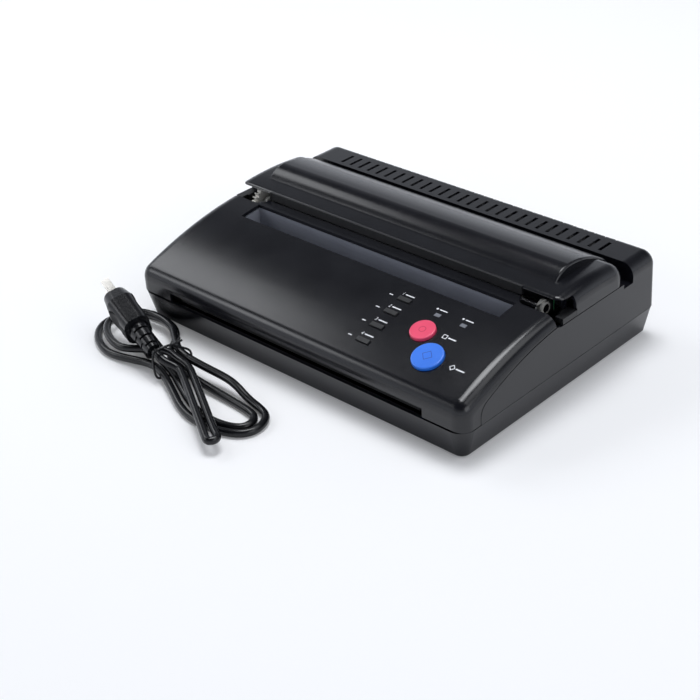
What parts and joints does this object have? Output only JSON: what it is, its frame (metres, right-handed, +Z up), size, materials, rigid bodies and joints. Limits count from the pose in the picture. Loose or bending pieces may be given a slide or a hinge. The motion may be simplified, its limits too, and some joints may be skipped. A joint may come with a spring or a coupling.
{
  "type": "thermal stencil copier",
  "caption": "Desktop thermal stencil copier: low wedge-shaped body with a curved operation panel, hinged dome lid over the print head, feed slot, vents, and a hanked mains cord beside it.",
  "frame": {"origin": "on the table, under the middle of the machine's outline without its cord set", "axes": "+X operator's right, +Y back, +Z up"},
  "size_m": [0.3227, 0.2992, 0.0794],
  "materials": {
    "black_shell": "satin black moulded shell",
    "black_inner": "matte black moulding",
    "black_rubber": "soft black rubber",
    "grey_rubber": "ground roller rubber",
    "white_nylon": "natural nylon",
    "zinc_plate": "zinc plated sheet",
    "bright_steel": "ground steel bar",
    "aluminium_sink": "plain extruded aluminium",
    "white_ceramic": "glazed ceramic strip",
    "glass": "clear float glass",
    "green_board": "solder-masked board",
    "grey_switch": "moulded switch body",
    "key_black": "matte key cap",
    "pink_red": "translucent pink-red cap",
    "blue": "translucent blue cap",
    "smoke_lens": "frosted lamp window",
    "cord_black": "satin flexible vinyl",
    "nickel": "nickel plated blade",
    "spring_steel": "spring wire"
  },
  "bodies": {
    "case": {"base_tray": "black_shell", "rubber_feet": "black_rubber", "case_screws": "bright_steel", "rear_housing": "black_shell", "power_inlet": "black_inner", "switch_frame": "black_inner", "left_side_plate": "zinc_plate", "right_side_plate": "zinc_plate", "roller_bushes": "white_nylon", "gear_studs": "bright_steel", "stepper_motor": "zinc_plate", "document_guide": "black_inner", "image_sensor": "black_inner", "sensor_glass": "glass", "stencil_guide": "zinc_plate", "main_board": "green_board", "power_board": "green_board", "cord_hank": "cord_black", "cord_start": "cord_black", "cord_end": "cord_black", "mains_plug": "cord_black", "plug_blades": "nickel", "cord_connector": "cord_black", "twist_tie": "cord_black"},
    "panel": {"operation_panel": "black_shell", "document_chute": "black_inner", "control_board": "green_board", "tact_switches": "grey_switch", "indicator_lenses": "smoke_lens", "panel_hinge_pins": "bright_steel"},
    "program_key": {"program_key": "key_black"},
    "darker_key": {"darker_key": "key_black"},
    "lighter_key": {"lighter_key": "key_black"},
    "mode_key": {"mode_key": "key_black"},
    "stop_button": {"stop_button": "pink_red"},
    "copy_button": {"copy_button": "blue"},
    "lid": {"lid_shell": "black_shell", "tear_bar": "black_inner", "head_bracket": "zinc_plate", "lid_hinge_pins": "bright_steel", "head_springs": "spring_steel"},
    "print_head": {"head_heat_sink": "aluminium_sink", "head_ceramic": "white_ceramic"},
    "left_latch": {"left_latch_lever": "black_inner"},
    "right_latch": {"right_latch_lever": "black_inner"},
    "platen": {"platen_shaft": "bright_steel", "platen_rubber": "grey_rubber", "platen_gear": "white_nylon"},
    "document_roller": {"document_shaft": "bright_steel", "document_rubber": "grey_rubber", "document_gear": "white_nylon"},
    "exit_roller": {"exit_shaft": "bright_steel", "exit_tyres": "grey_rubber", "exit_gear": "white_nylon"},
    "pinch_roller": {"pinch_rollers": "white_nylon"},
    "motor_rotor": {"motor_pinion": "zinc_plate"},
    "first_idler": {"first_idler_gear": "white_nylon"},
    "second_idler": {"second_idler_gear": "white_nylon"},
    "third_idler": {"third_idler_gear": "white_nylon"},
    "rocker": {"power_rocker": "black_inner"}
  },
  "joints": [
    {"name": "panel_hinge", "type": "hinge", "parent": "case", "child": "panel", "pos_m": [0, -0.1012, 0.0242], "axis": [1, 0, 0], "range_deg": [0, 25]},
    {"name": "lid_hinge", "type": "hinge", "parent": "case", "child": "lid", "pos_m": [0, 0.066, 0.06], "axis": [-1, 0, 0], "range_deg": [0, 65]},
    {"name": "program_key_press", "type": "slide", "parent": "panel", "child": "program_key", "axis": [0, 0.2026, -0.9793], "range_m": [0, 0.0008], "stiffness_N_per_m": 250, "springref_m": -0.002},
    {"name": "darker_key_press", "type": "slide", "parent": "panel", "child": "darker_key", "axis": [0, 0.2472, -0.969], "range_m": [0, 0.0008], "stiffness_N_per_m": 250, "springref_m": -0.002},
    {"name": "lighter_key_press", "type": "slide", "parent": "panel", "child": "lighter_key", "axis": [0, 0.2919, -0.9564], "range_m": [0, 0.0008], "stiffness_N_per_m": 250, "springref_m": -0.002},
    {"name": "mode_key_press", "type": "slide", "parent": "panel", "child": "mode_key", "axis": [0, 0.3366, -0.9417], "range_m": [0, 0.0008], "stiffness_N_per_m": 250, "springref_m": -0.002},
    {"name": "stop_button_press", "type": "slide", "parent": "panel", "child": "stop_button", "axis": [0, 0.2602, -0.9656], "range_m": [0, 0.0012], "stiffness_N_per_m": 300, "springref_m": -0.002},
    {"name": "copy_button_press", "type": "slide", "parent": "panel", "child": "copy_button", "axis": [0, 0.3133, -0.9497], "range_m": [0, 0.0012], "stiffness_N_per_m": 300, "springref_m": -0.002},
    {"name": "head_lift", "type": "slide", "parent": "lid", "child": "print_head", "axis": [0, 0, 1], "range_m": [0, 0.0007], "stiffness_N_per_m": 1500, "springref_m": -0.004, "deforming": ["head_springs"]},
    {"name": "left_latch_lift", "type": "hinge", "parent": "lid", "child": "left_latch", "pos_m": [0, 0.01, 0.0572], "axis": [-1, 0, 0], "range_deg": [0, 8], "stiffness_Nm_per_rad": 0.05, "springref_deg": -5.73},
    {"name": "right_latch_lift", "type": "hinge", "parent": "lid", "child": "right_latch", "pos_m": [0, 0.01, 0.0572], "axis": [-1, 0, 0], "range_deg": [0, 8], "stiffness_Nm_per_rad": 0.05, "springref_deg": -5.73},
    {"name": "platen_spin", "type": "hinge", "parent": "case", "child": "platen", "pos_m": [0, 0.008, 0.055], "axis": [1, 0, 0], "continuous": true},
    {"name": "document_spin", "type": "hinge", "parent": "case", "child": "document_roller", "pos_m": [0, -0.03, 0.033], "axis": [1, 0, 0], "continuous": true},
    {"name": "exit_spin", "type": "hinge", "parent": "case", "child": "exit_roller", "pos_m": [0, -0.084, 0.031], "axis": [1, 0, 0], "continuous": true},
    {"name": "pinch_spin", "type": "hinge", "parent": "case", "child": "pinch_roller", "pos_m": [0, -0.084, 0.0222], "axis": [1, 0, 0], "continuous": true},
    {"name": "motor_spin", "type": "hinge", "parent": "case", "child": "motor_rotor", "pos_m": [0, 0.0329, 0.02754], "axis": [1, 0, 0], "continuous": true},
    {"name": "first_idler_spin", "type": "hinge", "parent": "case", "child": "first_idler", "pos_m": [0, 0.0147, 0.033], "axis": [1, 0, 0], "continuous": true},
    {"name": "second_idler_spin", "type": "hinge", "parent": "case", "child": "second_idler", "pos_m": [0, -0.00971, 0.02759], "axis": [1, 0, 0], "continuous": true},
    {"name": "third_idler_spin", "type": "hinge", "parent": "case", "child": "third_idler", "pos_m": [0, -0.05732, 0.02686], "axis": [1, 0, 0], "continuous": true},
    {"name": "rocker_tilt", "type": "hinge", "parent": "case", "child": "rocker", "pos_m": [0, 0.0992, 0.038], "axis": [-1, 0, 0], "range_deg": [0, 16]}
  ],
  "couplings": [
    {"joint": "first_idler_spin", "follows": "platen_spin", "ratio": -0.76923},
    {"joint": "motor_spin", "follows": "platen_spin", "ratio": 1.6667},
    {"joint": "second_idler_spin", "follows": "platen_spin", "ratio": 0.83333},
    {"joint": "document_spin", "follows": "platen_spin", "ratio": -1.1111},
    {"joint": "third_idler_spin", "follows": "platen_spin", "ratio": 0.52632},
    {"joint": "exit_spin", "follows": "platen_spin", "ratio": -1.25},
    {"joint": "pinch_spin", "follows": "platen_spin", "ratio": 1.7857}
  ]
}
